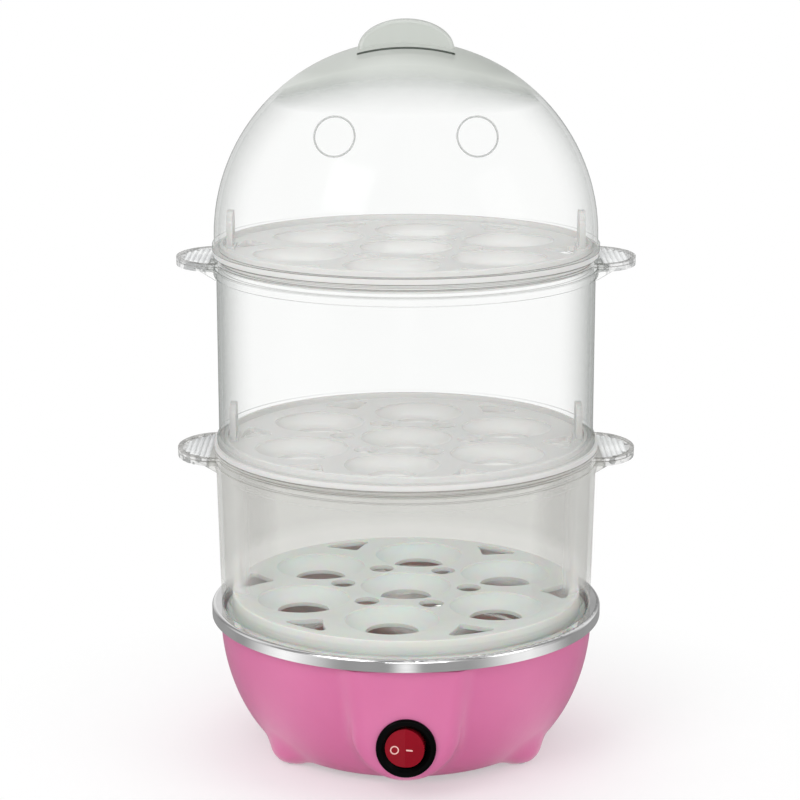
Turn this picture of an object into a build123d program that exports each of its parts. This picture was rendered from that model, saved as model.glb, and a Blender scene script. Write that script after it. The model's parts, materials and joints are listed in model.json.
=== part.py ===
from build123d import *
import os
from math import atan2, cos, degrees, radians, sin, tan

# Three-tier electric egg boiler, in millimetres.
# +Z is up, the origin is on the table under the middle of the bowl, and the switch faces -Y.

# ---- driving dimensions ----
rim_radius = 79.5          # the pan's rolled skirt, the widest round part
bowl_radius = 76.0         # the bowl under the skirt
bowl_foot_radius = 54.0    # where the bowl's curve meets its flat underside
bowl_bottom = 2.5          # underside of the bowl, above the table
bowl_wall = 2.4
rim_top = 59.5             # top face of the pan's flange
ledge_top = 54.5           # step inside the rim that the lowest tray lies on
pan_floor = 34.0
steel = 0.8

tray_thick = 1.8
wall = 1.8                 # clear tiers and dome
lower_seat = 125.0         # underside of the middle tray's flange
upper_seat = 203.0         # underside of the top tray's flange
flange_thick = 2.0
dome_radius = 76.1
dome_spring = 210.0        # where the dome's straight wall turns into its curve
collar_height = 8.0        # thickened top rim of each tier

cup_count = 6              # cups around the one in the middle
cup_ring = 45.0
cup_radius = 18.5
cup_depth = 5.0
cup_hole = 10.5
cup_turn = 23.0            # angle of the first cup, in degrees
vent_turn = -7.0           # angle of the first vent

deck_rise = 8.0            # the lowest tray's deck stands above its flange
deck_radius = 71.0

tab_radius = 68.4          # inner face of the upper trays' lifting tabs

lug_reach = 14.8           # how far a grip lug stands out
lug_half = 22.5
lug_thick = 2.6

switch_z = 23.3
switch_y = -77.0
switch_tilt = 2.5          # the boss face looks up by this much
bezel_radius = 11.6
bezel_thick = 1.6
switch_hole = 10.1
rocker_radius = 7.6
rocker_play = 0.65         # gap between the rocker and its well
rocker_throw = 8.0         # half of the rocker's travel, in degrees
rocker_pivot = -2.5        # hinge line, behind the boss face

foot_places = [(43.0 * sx, 43.0 * sy) for sx in (-1, 1) for sy in (-1, 1)]
foot_radius = 12.0
foot_bottom = 1.0          # the pads stand out of the feet by this much
foot_blend = 5.0           # rounding between a foot and the bowl
pad_radius = 3.7
pad_top = 2.6

cover_radius = 49.6
cover_thick = 2.0
post_ring = 44.0
post_angles = [20.0, 160.0, 200.0, 340.0]
post_radius = 3.6
post_top = 20.0
screw_hole = 1.45

gland_z = 19.0
gland_bore = 3.4
gland_neck = 5.6           # hole through the bowl's wall
gland_end = 79.2           # outer face of the gland
gland_face = 72.5          # flat seat moulded on the bowl

plate_radius = 48.0
plate_thick = 2.8
element_ring = 36.0
element_tube = 3.2
element_gap = 28.0         # half of the gap between the element's ends, in degrees
pin_angle = 33.0           # where the element's pins stand, from the +Y axis
strap_thick = 1.4
strap_half = 65.0
strap_screw = 60.0
thermostat_y = 24.0
thermostat_screw = 11.5
terminal_pitch = 5.5       # between the switch's blades
blade_end = -22.0          # how far behind the switch face the blades reach
block_front, block_rear = 29.0, 45.0
block_y = (block_front + block_rear) / 2
block_pitch = 9.0
lead_radius = 1.1

pan_under = pan_floor - steel
plate_under = pan_under - plate_thick
element_under = plate_under - 2 * element_tube
strap_under = element_under - strap_thick
lower_flange_top = lower_seat + flange_thick
upper_flange_top = upper_seat + flange_thick
lower_flange = ledge_top + tray_thick
lower_deck = lower_flange + deck_rise
fuse_z = strap_under - 2.0
pin_x = element_ring * sin(radians(pin_angle))
pin_y = element_ring * cos(radians(pin_angle))

switch_face = Plane(
    origin=(0, switch_y, switch_z),
    x_dir=(1, 0, 0),
    z_dir=(0, -cos(radians(switch_tilt)), sin(radians(switch_tilt))),
)


# ---- helpers ----
def turned(*corners, rounds=0.0):
    """A solid turned about Z from the (radius, height) corners of half its section."""
    if rounds:
        outline = FilletPolyline(*corners, radius=rounds, close=True)
    else:
        outline = Polyline(*corners, close=True)
    return revolve(Plane.XZ * make_face(outline), Axis.Z)


def rod(radius, low, high, x=0.0, y=0.0):
    return Pos(x, y, low) * Cylinder(radius, high - low, align=(Align.CENTER, Align.CENTER, Align.MIN))


def block(x_low, x_high, y_low, y_high, z_low, z_high):
    size = (x_high - x_low, y_high - y_low, z_high - z_low)
    return Pos(x_low, y_low, z_low) * Box(*size, align=(Align.MIN, Align.MIN, Align.MIN))


def around(count, start, radius=0.0):
    """Places on a ring, each turned to face outwards."""
    return [Rot(0, 0, start + k * 360.0 / count) * Pos(radius, 0, 0) for k in range(count)]


def group(pieces):
    return Compound(children=list(pieces))


# ---- bowl ----
def bowl_curve(inset, top):
    """Half section of the bowl's flared wall, drawn in by an inset."""
    pull, plumb = 4.0, 32.6    # how strongly the foot and the rim hold the curve
    foot, low = bowl_foot_radius - inset / 2, bowl_bottom + inset
    side = bowl_radius - inset
    return Bezier((foot, low), (foot + pull, low), (side, top - plumb), (side, top))


def bowl_body(inset, top):
    """Solid inside the bowl's wall line, up to a flat top."""
    curve = bowl_curve(inset, top)
    start, end = curve @ 0, curve @ 1
    rest = Polyline(end, (0, top), (0, start.Y), start)
    return revolve(Plane.XZ * make_face([curve, rest]), Axis.Z)


def tongue_outline(inset):
    """Front view of the switch boss: a round lower end that flares up past the rim."""
    round_radius = 20.5 - inset
    side = 25.2 - inset
    centre, top = 6.6, 36.0
    left, right = (-round_radius, centre), (round_radius, centre)
    return make_face(
        [
            ThreePointArc(left, (0, centre - round_radius), right),
            Line(right, (side, top)),
            Line((side, top), (-side, top)),
            Line((-side, top), left),
        ]
    )


def tongue(inset, low, high):
    """Switch boss, drafted so that it widens towards the bowl, between two levels."""
    depth, draft, rounding = 26, 9, 4.0
    face = switch_face.offset(-inset) * tongue_outline(inset)
    body = extrude(face, amount=-depth, taper=-draft)
    if inset == 0:
        front = body.faces().sort_by(Axis.Y)[0]
        body = fillet(front.edges(), rounding)
    return body & block(-40, 40, -90, -20, low, high)


def foot_lobe(x, y, inset):
    """Drop-shaped foot: round at its base, drawn out upwards into the bowl."""
    belly, belly_z = foot_radius - inset, 8.5
    base, neck, neck_z = 0.7 * belly, 0.66 * belly, 21.0
    low, tip = foot_bottom + inset, 31.0 - 1.5 * inset
    curve = Spline(
        (base, low), (belly, belly_z), (neck, neck_z), (0, tip), tangents=[(1, 0.45), (-1, -0.35)]
    )
    rest = Polyline((0, tip), (0, low), (base, low))
    drop = revolve(Plane.XZ * make_face([curve, rest]), Axis.Z)
    inwards = degrees(atan2(-y, -x))
    return Pos(x, y, 0) * Rot(0, 0, inwards) * drop


def footed_bowl(top):
    """Bowl with its four feet blended into it."""
    body = bowl_body(0, top)
    for x, y in foot_places:
        body += foot_lobe(x, y, 0)
    seams = []
    for edge in body.edges():
        spot = edge.center()
        beside = all(
            abs(spot.X - x) > foot_radius or abs(spot.Y - y) > foot_radius for x, y in foot_places
        )
        if not beside and spot.Z > bowl_bottom + 1:
            seams.append(edge)
    return fillet(seams, foot_blend)


def rear_boss(depth):
    """Round pad at the back that gives the cord gland a flat seat."""
    boss_radius = 9.5
    return Pos(0, gland_face - depth / 2, gland_z) * Cylinder(boss_radius, depth, rotation=(90, 0, 0))


def cover_posts():
    """Screw posts for the bottom cover, each tied to the wall by a rib."""
    low = bowl_bottom + cover_thick
    pieces = []
    for angle in post_angles:
        spot = Rot(0, 0, angle)
        pieces.append(spot * rod(post_radius, low, post_top, post_ring))
        pieces.append(spot * block(post_ring, 72, -0.9, 0.9, low + 2, post_top - 2))
    return pieces


def strap_ears():
    """Two lugs inside the wall that the heater strap is screwed up to."""
    ear = block(54, 75, -6, 6, element_under, pan_under - 1.2)
    return [Rot(0, 0, turn) * ear for turn in (0, 180)]


def base_housing():
    wall_top = ledge_top - steel
    lip_top = rim_top - 2 * steel
    lip_radius = rim_radius - steel - 0.3
    lip_inner = bowl_radius - 0.4
    lip_bottom = ledge_top + 0.1
    outer = footed_bowl(lip_bottom) + tongue(0, bowl_bottom, wall_top)
    outer += rear_boss(20)
    # lip that carries the pan's flange inside its skirt
    outer += rod(lip_radius, lip_bottom, lip_top)
    inside = bowl_body(bowl_wall, wall_top) + tongue(bowl_wall, bowl_bottom + bowl_wall, 48)
    inside += rod(lip_inner, wall_top, lip_top)
    for x, y in foot_places:
        inside += foot_lobe(x, y, 2.2)
    shell = outer - inside
    limit = bowl_body(1.0, wall_top)
    for piece in cover_posts() + strap_ears() + [rear_boss(15)]:
        shell += piece & limit
    # bottom opening with a step for the cover
    step = bowl_bottom + cover_thick
    shell -= rod(cover_radius + 0.2, -1, step)
    shell -= rod(cover_radius - 1.6, bowl_bottom, bowl_bottom + bowl_wall + 0.1) - group(cover_posts())
    for x, y in foot_places:
        shell -= rod(pad_radius, 0, pad_top, x, y)
    for angle in post_angles:
        shell -= Rot(0, 0, angle) * rod(screw_hole, 0, 14.0, post_ring)
    for x in (-strap_screw, strap_screw):
        shell -= rod(screw_hole, element_under - 1, pan_under - 2.5, x)
    shell -= switch_face * Cylinder(switch_hole, 60)
    shell -= Pos(0, 60, gland_z) * Cylinder(gland_neck, 40, rotation=(90, 0, 0))
    return shell


def foot_pads():
    return group(rod(pad_radius, 0, pad_top, x, y) for x, y in foot_places)


def bottom_cover():
    top = bowl_bottom + cover_thick
    cover = rod(cover_radius, bowl_bottom, top)
    cover = chamfer(cover.edges().filter_by(GeomType.CIRCLE).sort_by(Axis.Z)[0], 0.5)
    for reach in (0.7, 1.0, 1.3):
        ring = extrude(SlotArc(CenterArc((0, 0), 20 * reach, -17, 34), 2.4), 10)
        for place in around(6, 30):
            cover -= place * ring
    for angle in post_angles:
        spot = Rot(0, 0, angle)
        cover -= spot * rod(1.7, 0, 10, post_ring)
        cover -= spot * rod(3.2, 0, bowl_bottom + 1.0, post_ring)
    return cover


def cover_screws():
    screws = []
    for angle in post_angles:
        head = rod(2.8, bowl_bottom - 0.5, bowl_bottom + 1.0, post_ring)
        cross = block(post_ring - 1.6, post_ring + 1.6, -0.3, 0.3, 0, bowl_bottom + 0.2)
        head -= cross + Pos(post_ring, 0, 0) * Rot(0, 0, 90) * Pos(-post_ring, 0, 0) * cross
        screws.append(Rot(0, 0, angle) * (head + rod(screw_hole, bowl_bottom + 1.0, 13.0, post_ring)))
    return group(screws)


# ---- pan and heater ----
def pressed(corners, rounds, thick):
    """Sheet pressed to a section and turned about Z, with its thickness below the line."""
    line = FilletPolyline(*corners, radius=rounds)
    section = make_face(offset(line, amount=thick, side=Side.RIGHT))
    return revolve(Plane.XZ * section, Axis.Z)


def heating_pan():
    step = rim_radius - 4.9
    return pressed(
        [
            (0, pan_floor),
            (59, pan_floor),
            (65.4, ledge_top),
            (step, ledge_top),
            (step, rim_top),
            (rim_radius, rim_top),
            (rim_radius, ledge_top),
        ],
        [6.0, 2.0, 0.6, 1.0, 1.5],
        steel,
    )


def pan_seal():
    low, high = rim_top - 2 * steel, rim_top - steel
    return turned((bowl_radius, low), (bowl_radius + 2, low), (bowl_radius + 2, high), (bowl_radius, high))


def heater_plate():
    plate = rod(plate_radius, plate_under, pan_under)
    rib = 1.2
    channel = Torus(element_ring, element_tube + rib)
    channel = Pos(0, 0, plate_under - element_tube) * channel
    plate += channel & rod(plate_radius, plate_under - rib, plate_under)
    plate -= Pos(0, 0, plate_under - element_tube) * Torus(element_ring, element_tube)
    for x in (-thermostat_screw, thermostat_screw):
        plate -= rod(screw_hole, plate_under, plate_under + 2, x, thermostat_y)
    return plate


def heating_element():
    span = 360 - 2 * element_gap
    arc = CenterArc((0, 0, plate_under - element_tube), element_ring, 90 + element_gap, span)
    return sweep(Plane(origin=arc @ 0, z_dir=arc % 0) * Circle(element_tube), path=arc)


def element_ends():
    """Ceramic beads and contact pins under the element's two ends."""
    bead = rod(2.6, element_under - 4, element_under) + rod(1.0, element_under - 10, element_under - 4)
    return group(Pos(x, pin_y, 0) * bead for x in (-pin_x, pin_x))


def clamp_strap():
    """Pressed strap that holds the heater up against the pan."""
    strap = extrude(SlotOverall(2 * strap_half, 14), strap_thick)
    bead = extrude(SlotOverall(70, 4), 0.6)
    strap = Pos(0, 0, strap_under) * (strap + Pos(0, 0, -0.6) * bead)
    strap -= block(-14, 14, -2.6, 2.6, strap_under - 1, strap_under)
    for x in (-strap_screw, strap_screw):
        strap -= rod(1.7, strap_under - 1, element_under + 1, x)
    return strap


def clamp_screws():
    screws = []
    for x in (-strap_screw, strap_screw):
        head = rod(2.8, strap_under - 1.8, strap_under, x)
        head -= block(x - 3, x + 3, -0.35, 0.35, strap_under - 2, strap_under - 1.2)
        screws.append(head + rod(screw_hole, strap_under, pan_under - 3, x))
    return group(screws)


def thermostat():
    """Snap-disc thermostat with its mounting flange and one front blade."""
    flange = SlotOverall(2 * thermostat_screw + 7, 7) + Circle(8.4)
    body = Pos(0, thermostat_y, plate_under - 0.8) * extrude(flange, 0.8)
    body += rod(8.0, plate_under - 4.5, plate_under, 0, thermostat_y)
    body += rod(7.0, plate_under - 13.5, plate_under - 4.5, 0, thermostat_y)
    body += block(-3.15, 3.15, thermostat_y - 12, thermostat_y - 5, fuse_z - 0.4, fuse_z + 0.4)
    for x in (-thermostat_screw, thermostat_screw):
        body -= rod(screw_hole, plate_under - 1, plate_under, x, thermostat_y)
    return body


def thermostat_screws():
    screws = []
    for x in (-thermostat_screw, thermostat_screw):
        shank = rod(screw_hole, plate_under - 0.8, plate_under + 2, x, thermostat_y)
        screws.append(shank + rod(2.6, plate_under - 2.4, plate_under - 0.8, x, thermostat_y))
    return group(screws)


def thermal_fuse():
    """One-shot fuse under the strap, its rear wire welded to the thermostat."""
    low, high = -8.0, 2.0
    can = Pos(0, (low + high) / 2, fuse_z) * Cylinder(2.0, high - low, rotation=(90, 0, 0))
    rear = thermostat_y - 12
    wire = Pos(0, (low - 3 + rear) / 2, fuse_z) * Cylinder(0.6, rear - low + 3, rotation=(90, 0, 0))
    return can + wire


def fuse_clip():
    """Spring saddle that presses the fuse to the strap."""
    middle = -3.0
    saddle = Pos(0, middle, fuse_z) * Cylinder(2.7, 5, rotation=(90, 0, 0))
    saddle &= block(-2.7, 2.7, middle - 2.5, middle + 2.5, fuse_z - 3, fuse_z)
    saddle += block(-2.7, 2.7, middle - 2.5, middle + 2.5, fuse_z, strap_under)
    saddle += block(-8, 8, middle - 2.5, middle + 2.5, strap_under - 0.7, strap_under)
    bore = Pos(0, middle, fuse_z) * Cylinder(2.0, 6, rotation=(90, 0, 0))
    gap = block(-2.0, 2.0, middle - 3, middle + 3, fuse_z, strap_under)
    return saddle - bore - gap


# ---- wiring ----
def terminal_block():
    top = bowl_bottom + cover_thick + 12
    body = block(-15, 15, block_front, block_rear, bowl_bottom + cover_thick, top)
    body = fillet(body.edges().filter_by(Axis.Z), 1.5)
    for x in (-block_pitch, 0, block_pitch):
        body -= Pos(x, block_y, 9.5) * Cylinder(2.0, 30, rotation=(90, 0, 0))
        body -= rod(2.0, 9.5, top + 1, x, block_y)
    for x in (-block_pitch / 2, block_pitch / 2):
        body -= block(x - 0.6, x + 0.6, block_front, block_rear, top - 3, top)
    return body


def block_sleeves():
    sleeve = Cylinder(2.0, 14, rotation=(90, 0, 0)) - Cylinder(1.2, 15, rotation=(90, 0, 0))
    sleeve -= rod(1.5, 0, 3)
    return group(Pos(x, block_y, 9.5) * sleeve for x in (-block_pitch, 0, block_pitch))


def block_screws():
    screws = []
    for x in (-block_pitch, 0, block_pitch):
        screw = rod(1.5, 10.2, 12.0, x, block_y) + rod(1.9, 12.0, 14.5, x, block_y)
        screws.append(screw - block(x - 2, x + 2, block_y - 0.3, block_y + 0.3, 13.7, 15))
    return group(screws)


def earth_tag():
    tag = block(40, 47.4, -3.1, 3.1, strap_under - 0.8, strap_under)
    return tag + block(46.6, 47.4, -3.1, 3.1, strap_under - 9, strap_under)


def element_link():
    """Stiff wire from the thermostat to the element's pin."""
    start = Vector(0, thermostat_y, element_under - 6)
    end = Vector(pin_x, pin_y, element_under - 6)
    aim = (end - start).normalized()
    near, far = start + aim * 7.1, end - aim * 1.1
    return sweep(Plane(origin=near, z_dir=aim) * Circle(0.8), path=Line(near, far))


def lead(name, *points):
    """Round insulated wire along straight runs joined by tangent arcs."""
    stops = [Vector(*point) for point in points]
    runs = [after - before for before, after in zip(stops, stops[1:])]
    radii = []
    for first, second in zip(runs, runs[1:]):
        shorter = min(first.length, second.length)
        radii.append(0.45 * shorter / tan(radians(first.get_angle(second) / 2)))
    path = FilletPolyline(*stops, radius=radii)
    wire = sweep(Plane(origin=path @ 0, z_dir=path % 0) * Circle(lead_radius), path=path)
    print(name, "radii", [round(r, 1) for r in radii], "length", round(path.length, 1))
    return wire


def blade_point(x):
    spot = switch_face * Pos(x, 0, blade_end)
    return (x, spot.position.Y, spot.position.Z)


def supply_lead():
    return lead(
        "supply_lead",
        (block_pitch, block_front + 1, 9.5),
        (block_pitch, 19, 9.5),
        (12.5, 7, 9.3),
        (12.5, -8, 9.4),
        (11, -23, 11),
        (7.5, -35, 15.5),
        (terminal_pitch, -45, 21.9),
        blade_point(terminal_pitch),
    )


def switch_lead():
    return lead(
        "switch_lead",
        blade_point(0),
        (0, -44, 21.8),
        (3, -33, 17.5),
        (2.5, -21, 18.2),
        (0, -11, fuse_z),
    )


def neutral_lead():
    return lead(
        "neutral_lead",
        (-block_pitch, block_front + 1, 9.5),
        (-block_pitch, 21, 9.5),
        (-11, 10, 9.8),
        (-18, 4, 10.5),
        (-25, 9, 11.5),
        (-24, 20, 13.5),
        (-pin_x, pin_y - 1.1, 16),
    )


def earth_lead():
    return lead(
        "earth_lead",
        (0, block_front + 1, 9.5),
        (0, 21, 9.7),
        (5, 14, 12.5),
        (15, 8, 15.2),
        (27, 4, 16),
        (37, 0.5, 16.4),
        (46.6, 0, 16),
    )


# ---- switch ----
def switch_body():
    well_radius = rocker_radius + rocker_play
    flare_grow, flare_deep = 1.2, 1.3
    bezel = Pos(0, 0, bezel_thick / 2) * Cylinder(bezel_radius, bezel_thick)
    bezel = fillet(bezel.edges().sort_by(Axis.Z)[-1], 0.9)
    body = bezel + Pos(0, 0, -7) * Cylinder(switch_hole - 0.1, 14)
    clip = Rot(0, 14, 0) * Box(1.0, 4, 6, align=(Align.CENTER, Align.CENTER, Align.MAX))
    for turn in (0, 180):
        body += Rot(0, 0, turn) * Pos(switch_hole - 0.3, 0, -2.5) * clip
    upright = (Align.CENTER, Align.CENTER, Align.MIN)
    body -= Pos(0, 0, -7) * Cylinder(well_radius, 20, align=upright)
    flare = Cone(well_radius, well_radius + flare_grow, flare_deep, align=upright)
    body -= Pos(0, 0, bezel_thick - flare_deep) * flare
    # hinge holes, and the lamp's hole in the floor
    body -= Pos(0, 0, rocker_pivot) * Cylinder(1.15, 2 * (well_radius + 1.2), rotation=(90, 0, 0))
    body -= Pos(0, 0, -12) * Cylinder(1.9, 6, align=upright)
    return switch_face * body


def switch_rocker():
    """Round rocker with a valley between its two halves, resting with its left half pressed."""
    crest, floor, edge = 0.4, -5.0, 9.0
    rise = crest + edge * tan(radians(rocker_throw))
    side = Polyline((-edge, floor), (edge, floor), (edge, rise), (0, crest), (-edge, rise), close=True)
    blank = extrude(Plane.XZ * make_face(side), edge, both=True)
    blank &= Cylinder(rocker_radius, 30)
    blank += Pos(0, 0, rocker_pivot) * Cylinder(1.0, 2 * (rocker_radius + 1.3), rotation=(90, 0, 0))
    swung = Pos(0, 0, rocker_pivot) * Rot(0, -rocker_throw, 0) * Pos(0, 0, -rocker_pivot) * blank
    return switch_face * swung


def switch_terminals():
    blades = []
    for x in (-terminal_pitch, 0, terminal_pitch):
        blade = Pos(x, 0, (blade_end - 14) / 2) * Box(0.8, 5.4, -14 - blade_end)
        blades.append(switch_face * blade)
    return group(blades)


def switch_lamp():
    lamp = Pos(0, 0, -12) * Cylinder(1.5, 4.2, align=(Align.CENTER, Align.CENTER, Align.MIN))
    return switch_face * fillet(lamp.edges().sort_by(Axis.Z)[-1], 1.2)


# ---- cord gland ----
def along_y(*corners):
    """A solid turned about the gland's axis from (radius, y) corners."""
    outline = make_face(Polyline(*[(r, y) for r, y in corners], close=True))
    return Pos(0, 0, gland_z) * Rot(-90, 0, 0) * revolve(Plane.XZ * outline, Axis.Z)


def cord_gland():
    seat = gland_face
    body = along_y(
        (gland_bore, 53),
        (gland_neck - 0.1, 53),
        (gland_neck - 0.1, seat),
        (8.6, seat),
        (8.6, seat + 1.8),
        (7.4, seat + 2.6),
        (5.6, gland_end),
        (gland_bore, gland_end),
    )
    for k in range(3):
        low = seat + 4.0 + 1.7 * k
        body -= along_y((5.7, low), (9.0, low), (9.0, low + 0.8), (5.7, low + 0.8))
    return body


def gland_nut():
    hexagon = Rot(-90, 0, 0) * extrude(RegularPolygon(8.6, 6) - Circle(gland_neck - 0.1), 3.6)
    return Pos(0, 53.9, gland_z) * hexagon


# ---- egg trays ----
def cup_places():
    spots = [Pos(0, 0, 0)]
    for k in range(cup_count):
        spots.append(Rot(0, 0, cup_turn + 60 * k) * Pos(cup_ring, 0, 0))
    return spots


def cup_dish(thick):
    """Shallow dish turned about its own axis, open at the bottom, with its rim at z = 0."""
    lip = cup_radius + 0.6
    sheet = 1.5
    waist = -0.62 * cup_depth
    inner = ThreePointArc((lip, 0), (cup_radius - 2.6, waist), (cup_hole, -cup_depth))
    outer = ThreePointArc(
        (cup_hole, -cup_depth - sheet), (cup_radius - 1.8, waist - sheet - 0.1), (lip, -thick)
    )
    foot = Line((cup_hole, -cup_depth), (cup_hole, -cup_depth - sheet))
    rim = Line((lip, -thick), (lip, 0))
    return revolve(Plane.XZ * make_face([inner, foot, outer, rim]), Axis.Z)


def steam_hole():
    """Rounded triangle with a curved outer edge, between two cups of the ring."""
    inner, outer, spread = 54.0, 67.0, 10.5
    bow = 1.2              # how far the two long sides curve out
    point = Vector(inner, 0)
    sides, ends = [], []
    for way in (-1, 1):
        angle = radians(way * spread)
        end = Vector(outer * cos(angle), outer * sin(angle))
        middle = (point + end) * 0.5 - Vector(0, way * bow)
        sides.append(ThreePointArc(point, middle, end))
        ends.append(end)
    edge = ThreePointArc(ends[0], (outer, 0), ends[1])
    outline = make_face([sides[0], edge, sides[1]])
    return fillet(outline.vertices(), 1.8)


def lifting_tab(radius):
    """Upright finger tab near a tray's edge."""
    width, height, thick, corner = 14.0, 14.5, 2.4, 4.5
    buried = 4.0
    face = RectangleRounded(width, height + 2 * buried, corner)
    tab = extrude(Plane.YZ.offset(radius) * Pos(0, height / 2 - buried) * face, thick)
    tab &= block(radius - 5, radius + 5, -width, width, -1, height)
    half = width / 2 + 0.8
    return tab + block(radius - 0.8, radius + thick + 0.4, -half, half, -1, 0.9)


def tray_deck(radius, thick, tabs):
    """Seven-cup deck whose upper face is at z = 0."""
    vent_ring, vent_radius = 26.0, 5.0
    plate = Circle(radius)
    for spot in cup_places():
        plate -= spot * Circle(cup_radius)
    for k in range(cup_count):
        turn = Rot(0, 0, vent_turn + 360 / cup_count * k)
        plate -= turn * Pos(vent_ring, 0, 0) * Circle(vent_radius)
        plate -= turn * steam_hole()
    deck = extrude(plate, -thick)
    dish = cup_dish(thick)
    for spot in cup_places():
        deck += spot * dish
    for turn in (0, 180):
        deck += Rot(0, 0, turn) * lifting_tab(tabs)
    return deck


def lower_tray():
    """Raised deck on a stepped skirt, whose flange lies on the pan's ledge."""
    deck = Pos(0, 0, lower_deck) * tray_deck(deck_radius - 0.7, tray_thick, deck_radius - 3.2)
    flange = rim_radius - 5.6
    skirt = turned(
        (deck_radius - 1.5, ledge_top),
        (flange, ledge_top),
        (flange, lower_flange),
        (deck_radius + 0.3, lower_flange),
        (deck_radius, lower_deck),
        (deck_radius - 2.0, lower_deck),
        rounds=0.5,
    )
    return deck + skirt


def upper_tray(top, flange_radius, skirt_radius, lip_radius):
    """Tray whose flange lies on a tier's rim, with a skirt inside it and a lip round its deck."""
    skirt_wall, skirt_drop = 1.4, 4.0
    lip_wall, lip_rise, lip_slope = 1.3, 2.5, 0.5
    tray = tray_deck(flange_radius, flange_thick, tab_radius)
    low, high = -flange_thick - skirt_drop, -flange_thick / 2
    inner = skirt_radius - skirt_wall
    tray += turned((inner, low), (skirt_radius, low), (skirt_radius, high), (inner, high))
    inner = lip_radius - lip_wall
    tray += turned(
        (inner, -0.5),
        (lip_radius, -0.5),
        (lip_radius, lip_rise - lip_slope),
        (lip_radius - 0.4, lip_rise),
        (inner, lip_rise),
    )
    return Pos(0, 0, top) * tray


def middle_tray():
    return upper_tray(lower_flange_top, 77.4, skirt_radius=74.6, lip_radius=73.2)


def top_tray():
    return upper_tray(upper_flange_top, 76.5, skirt_radius=73.2, lip_radius=73.9)


# ---- clear tiers and dome ----
def grip_lug(root, top):
    """Half-round grip on a tier's rim, with a bead round its edge and webs under it."""
    overlap = 1.5
    bead_width, bead_rise = 1.8, 0.6
    web_long, web_deep, web_thick, web_pitch = 9.0, 5.4, 1.4, 12.0
    reach = lug_reach + overlap
    outline = Ellipse(reach, lug_half)
    lug = extrude(outline, lug_thick)
    border = outline - Ellipse(reach - bead_width, lug_half - bead_width)
    lug += Pos(0, 0, lug_thick) * extrude(border, bead_rise)
    gusset = Polyline((0, 0), (web_long, 0), (0, -web_deep), close=True)
    web = extrude(Plane.XZ * make_face(gusset), web_thick)
    for k in (-1, 0, 1):
        lug += Pos(0, k * web_pitch + web_thick / 2, 0.2) * web
    return Pos(root - overlap, 0, top - lug_thick - bead_rise) * lug


def tier(corners, inner_top, collar_radius, collar_top):
    """Clear ring with two grooves round its collar and a grip on each side."""
    groove_deep, groove_wide, lug_drop = 0.5, 0.7, 1.2
    shell = turned(*corners)
    for drop in (2.2, 4.9):
        high = collar_top - drop
        low = high - groove_wide
        floor, clear = collar_radius - groove_deep, collar_radius + 1
        shell -= turned((floor, low), (clear, low), (clear, high), (floor, high))
    room = rod(inner_top, collar_top - 20, collar_top + 5)
    for turn in (0, 180):
        shell += Rot(0, 0, turn) * (grip_lug(collar_radius, collar_top - lug_drop) - room)
    return shell


def lower_barrel():
    foot = lower_flange
    collar = lower_seat - collar_height
    corners = [
        (72.4, foot),
        (74.2, foot),
        (74.2, rim_top + 0.8),
        (75.6, rim_top + 2.6),
        (76.8, collar - 0.5),
        (77.5, collar),
        (77.5, lower_seat),
        (75.0, lower_seat),
        (75.0, collar),
        (73.8, rim_top + 3.2),
        (72.4, rim_top + 1.4),
    ]
    return tier(corners, 76.0, 77.5, lower_seat)


def upper_barrel():
    foot = lower_flange_top
    collar = upper_seat - collar_height
    corners = [
        (73.6, foot),
        (76.2, foot),
        (76.2, foot + 2.4),
        (75.4, foot + 3.2),
        (75.4, collar - 0.6),
        (76.5, collar),
        (76.5, upper_seat),
        (73.6, upper_seat),
    ]
    return tier(corners, 75.0, 76.5, upper_seat)


def fin(inset):
    """Half-round knob on top of the dome, thick at its foot and slim at its crest."""
    half_width, height, centre = 18.9 - inset, 12.0 - inset, 282.5
    foot, crest, depth = 12.5 - inset, 4.5 - inset, 16.0
    rounding = 1.6
    arch = Ellipse(half_width, height) & Pos(0, height) * Rectangle(2 * half_width, 2 * height)
    profile = arch + Pos(0, -depth / 2) * Rectangle(2 * half_width, depth)
    body = extrude(Plane.XZ * profile, foot + 4, both=True)
    flank = Polyline(
        (-foot - 2, -depth), (foot + 2, -depth), (crest, height + 1), (-crest, height + 1), close=True
    )
    body &= extrude(Plane.YZ * make_face(flank), half_width + 5, both=True)
    if inset == 0:
        body = fillet(body.edges().filter_by(lambda edge: edge.center().Z > 1), rounding)
    return Pos(0, 0, centre) * body


def dome_body(grow):
    """Solid of the dome's outer face: a short straight wall and a round top."""
    radius = dome_radius + grow
    cap = Sphere(radius) & rod(radius + 1, 0, radius + 1)
    return rod(radius, upper_flange_top, dome_spring) + Pos(0, 0, dome_spring) * cap


def dome_rings():
    """Two thin raised rings on the front of the dome."""
    across, ahead, level = 26.5, 55.4, 255.0
    outer, inner, lean = 7.95, 7.2, 82
    skin = dome_body(0.7) - dome_body(-0.3)
    tube = Cylinder(outer, 34) - Cylinder(inner, 34)
    return [Pos(x, -ahead, level) * Rot(lean, 0, 0) * tube & skin for x in (-across, across)]


def dome_lid():
    rim, bead = upper_flange_top, 76.9
    inner = dome_radius - wall
    slit_long, slit_wide, slit_y = 37.5, 2.6, -15.4
    shell = dome_body(0) + fin(0)
    shell -= dome_body(-wall) + fin(1.6)
    shell += turned((inner, rim), (bead, rim), (bead, rim + 2.2), (dome_radius, rim + 3), (inner, rim + 3))
    shell -= Pos(0, slit_y, dome_spring + 52) * extrude(SlotOverall(slit_long, slit_wide), 40)
    for ring in dome_rings():
        shell += ring
    return shell


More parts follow.
